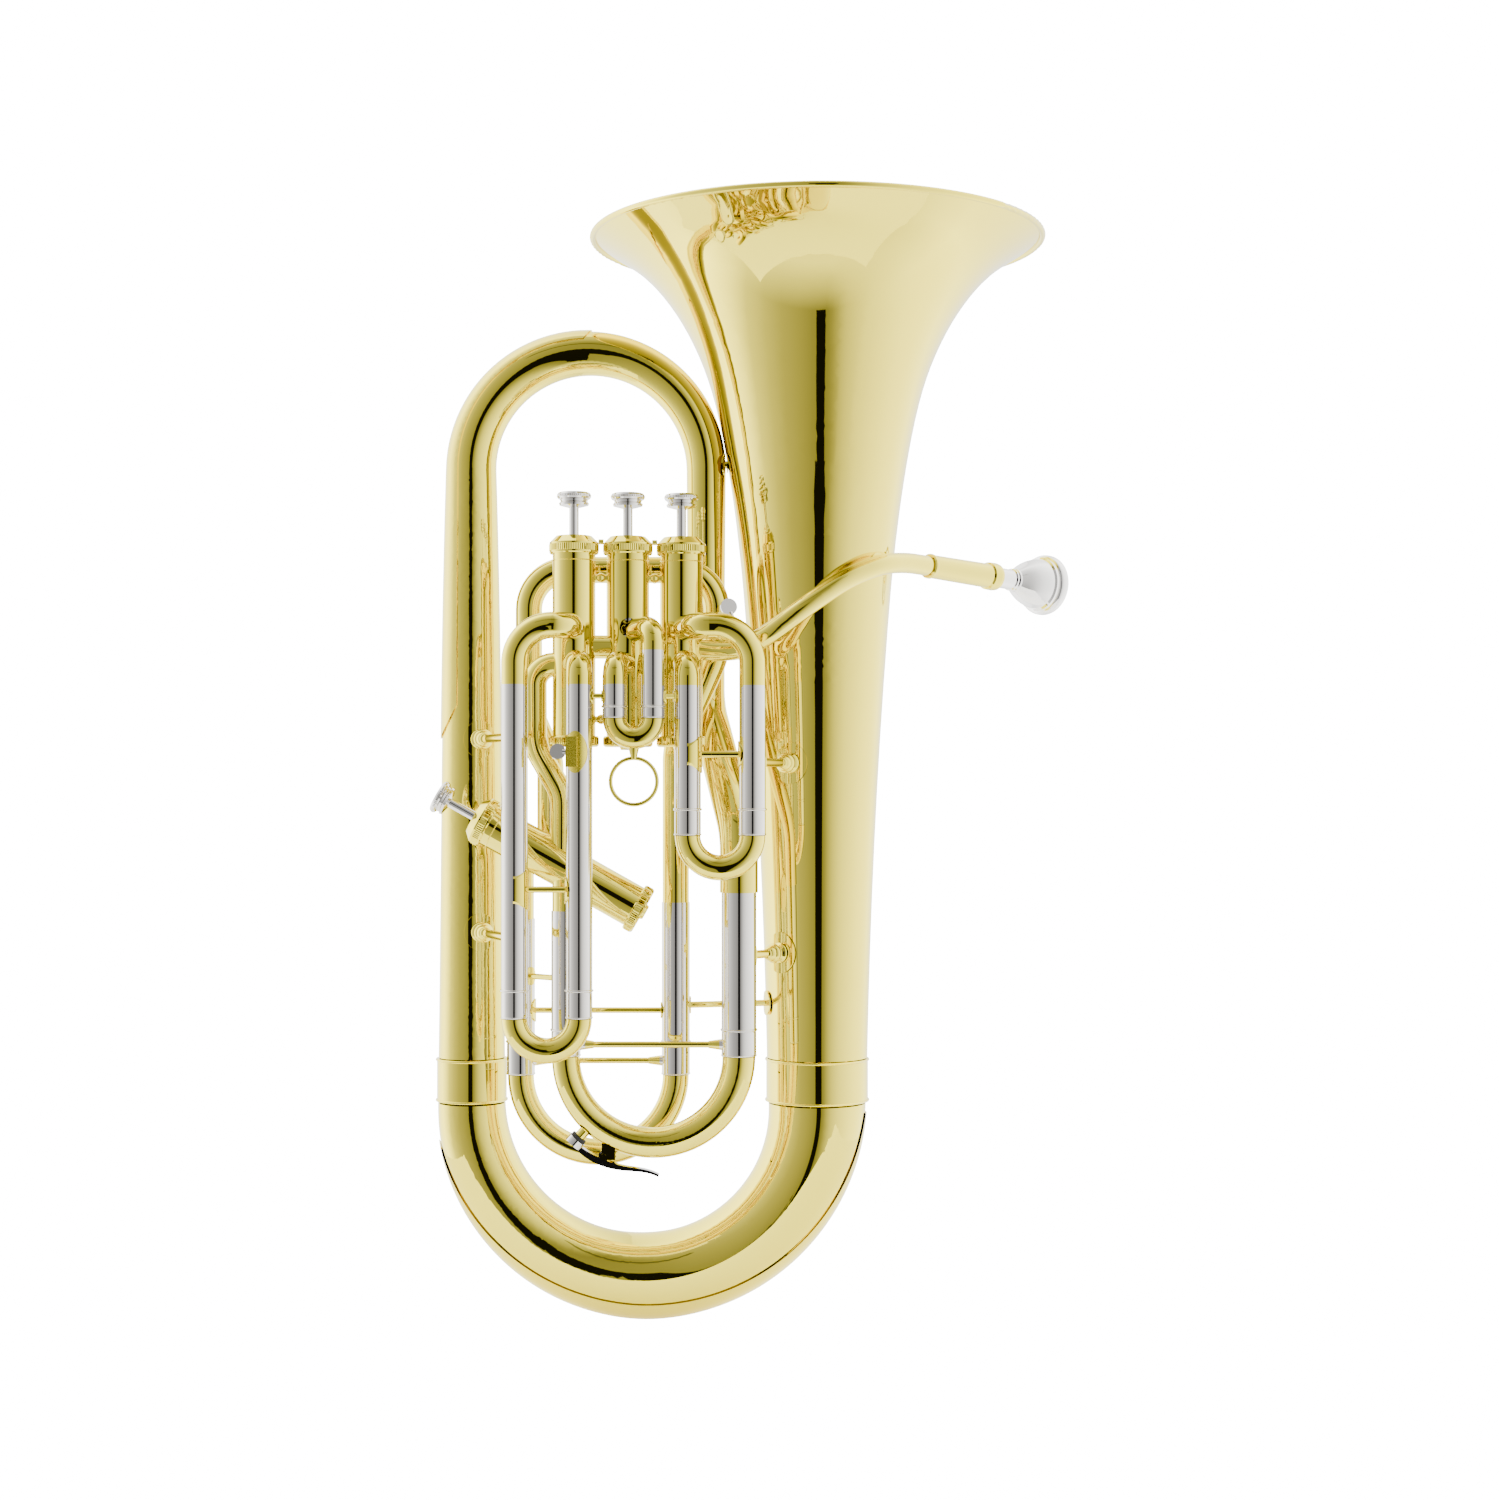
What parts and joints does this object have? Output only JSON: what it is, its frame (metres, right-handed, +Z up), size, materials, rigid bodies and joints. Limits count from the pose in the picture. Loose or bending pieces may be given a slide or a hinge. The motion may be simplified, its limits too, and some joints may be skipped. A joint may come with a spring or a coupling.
{
  "type": "euphonium",
  "caption": "Upright-bell euphonium with three finger valves, a side valve, pull-out tuning slides, a water key and a removable mouthpiece.",
  "frame": {"origin": "lowest point of the bottom bow, midway between the left leg and the bell", "axes": "+Z up the bell, +X from the left leg to the bell, -Y the side of the three finger valves"},
  "size_m": [0.3968, 0.28, 0.667],
  "materials": {
    "lacquered_brass": "clear-lacquered polished yellow brass",
    "nickel_silver": "polished nickel silver",
    "silver_plate": "silver plate",
    "bright_nickel": "bright nickel plate",
    "spring_wire": "bare spring wire",
    "cork_pad": "matt black rubber"
  },
  "bodies": {
    "horn": {"bell_stem": "lacquered_brass", "bell_flare": "lacquered_brass", "bottom_bow": "lacquered_brass", "bottom_bow_guard": "lacquered_brass", "bow_ferrules": "lacquered_brass", "left_leg": "lacquered_brass", "top_bow": "lacquered_brass", "top_bow_guard": "lacquered_brass", "down_branch": "lacquered_brass", "leadpipe": "lacquered_brass", "leadpipe_fittings": "lacquered_brass", "mouthpiece_receiver": "lacquered_brass", "valve_casing_1": "lacquered_brass", "valve_casing_2": "lacquered_brass", "valve_casing_3": "lacquered_brass", "valve_casing_4": "lacquered_brass", "valve_top_caps": "lacquered_brass", "valve_bottom_caps": "lacquered_brass", "valve_spring_1": "spring_wire", "valve_spring_2": "spring_wire", "valve_spring_3": "spring_wire", "valve_spring_4": "spring_wire", "casing_links": "lacquered_brass", "slide_1_knuckles": "lacquered_brass", "slide_2_knuckles": "lacquered_brass", "slide_3_knuckles": "lacquered_brass", "slide_1_sleeves": "nickel_silver", "slide_2_sleeves": "nickel_silver", "slide_3_sleeves": "nickel_silver", "fourth_slide_sleeves": "nickel_silver", "main_slide_sleeves": "nickel_silver", "valve_crossover": "lacquered_brass", "fourth_branch": "lacquered_brass", "valve_4_knuckles": "lacquered_brass", "body_braces": "lacquered_brass", "tube_braces": "lacquered_brass", "lyre_socket": "lacquered_brass"},
    "valve_1": {"piston_1": "nickel_silver", "stem_1": "bright_nickel", "finger_button_1": "bright_nickel"},
    "valve_2": {"piston_2": "nickel_silver", "stem_2": "bright_nickel", "finger_button_2": "bright_nickel"},
    "valve_3": {"piston_3": "nickel_silver", "stem_3": "bright_nickel", "finger_button_3": "bright_nickel"},
    "valve_4": {"piston_4": "nickel_silver", "stem_4": "bright_nickel", "finger_button_4": "bright_nickel"},
    "slide_1": {"valve_slide_1": "lacquered_brass"},
    "slide_2": {"valve_slide_2": "lacquered_brass", "pull_ring": "lacquered_brass"},
    "slide_3": {"valve_slide_3": "lacquered_brass"},
    "slide_4": {"fourth_slide": "lacquered_brass"},
    "slide_main": {"main_tuning_slide": "lacquered_brass"},
    "drain_lever": {"water_key": "bright_nickel", "water_key_pad": "cork_pad"},
    "lyre_screw": {"lyre_thumb_screw": "bright_nickel"},
    "leadpipe_screw": {"leadpipe_thumb_screw": "bright_nickel"},
    "mouthpiece_body": {"mouthpiece": "silver_plate"}
  },
  "joints": [
    {"name": "valve_1_press", "type": "slide", "parent": "horn", "child": "valve_1", "axis": [0, 0, -1], "range_m": [0, 0.0165], "stiffness_N_per_m": 200, "springref_m": -0.02, "deforming": ["valve_spring_1"]},
    {"name": "valve_2_press", "type": "slide", "parent": "horn", "child": "valve_2", "axis": [0, 0, -1], "range_m": [0, 0.0165], "stiffness_N_per_m": 200, "springref_m": -0.02, "deforming": ["valve_spring_2"]},
    {"name": "valve_3_press", "type": "slide", "parent": "horn", "child": "valve_3", "axis": [0, 0, -1], "range_m": [0, 0.0165], "stiffness_N_per_m": 200, "springref_m": -0.02, "deforming": ["valve_spring_3"]},
    {"name": "valve_4_press", "type": "slide", "parent": "horn", "child": "valve_4", "axis": [0.8708, 0, -0.4916], "range_m": [0, 0.0165], "stiffness_N_per_m": 200, "springref_m": -0.02, "deforming": ["valve_spring_4"]},
    {"name": "slide_1_pull", "type": "slide", "parent": "horn", "child": "slide_1", "axis": [0, 0, -1], "range_m": [0, 0.055]},
    {"name": "slide_2_pull", "type": "slide", "parent": "horn", "child": "slide_2", "axis": [0, 0, -1], "range_m": [0, 0.014]},
    {"name": "slide_3_pull", "type": "slide", "parent": "horn", "child": "slide_3", "axis": [0, 0, -1], "range_m": [0, 0.11]},
    {"name": "slide_4_pull", "type": "slide", "parent": "horn", "child": "slide_4", "axis": [0, 0, -1], "range_m": [0, 0.045]},
    {"name": "main_slide_pull", "type": "slide", "parent": "horn", "child": "slide_main", "axis": [0, 0, -1], "range_m": [0, 0.055]},
    {"name": "water_key_press", "type": "hinge", "parent": "slide_main", "child": "drain_lever", "pos_m": [-0.0219, -0.051, 0.1088], "axis": [0, -1, 0], "range_deg": [0, 14], "stiffness_Nm_per_rad": 0.08, "springref_deg": -22.92},
    {"name": "lyre_screw_turn", "type": "hinge", "parent": "horn", "child": "lyre_screw", "pos_m": [-0.0406, -0.0974, 0.3481], "axis": [1, 0, 0], "range_deg": [-180, 180]},
    {"name": "leadpipe_screw_turn", "type": "hinge", "parent": "horn", "child": "leadpipe_screw", "pos_m": [0.06, -0.053, 0.4115], "axis": [-0.3074, 0, 0.9516], "range_deg": [-180, 180]},
    {"name": "mouthpiece_pull", "type": "slide", "parent": "horn", "child": "mouthpiece_body", "axis": [0.7615, 0.6456, -0.0579], "range_m": [0, 0.025]}
  ]
}
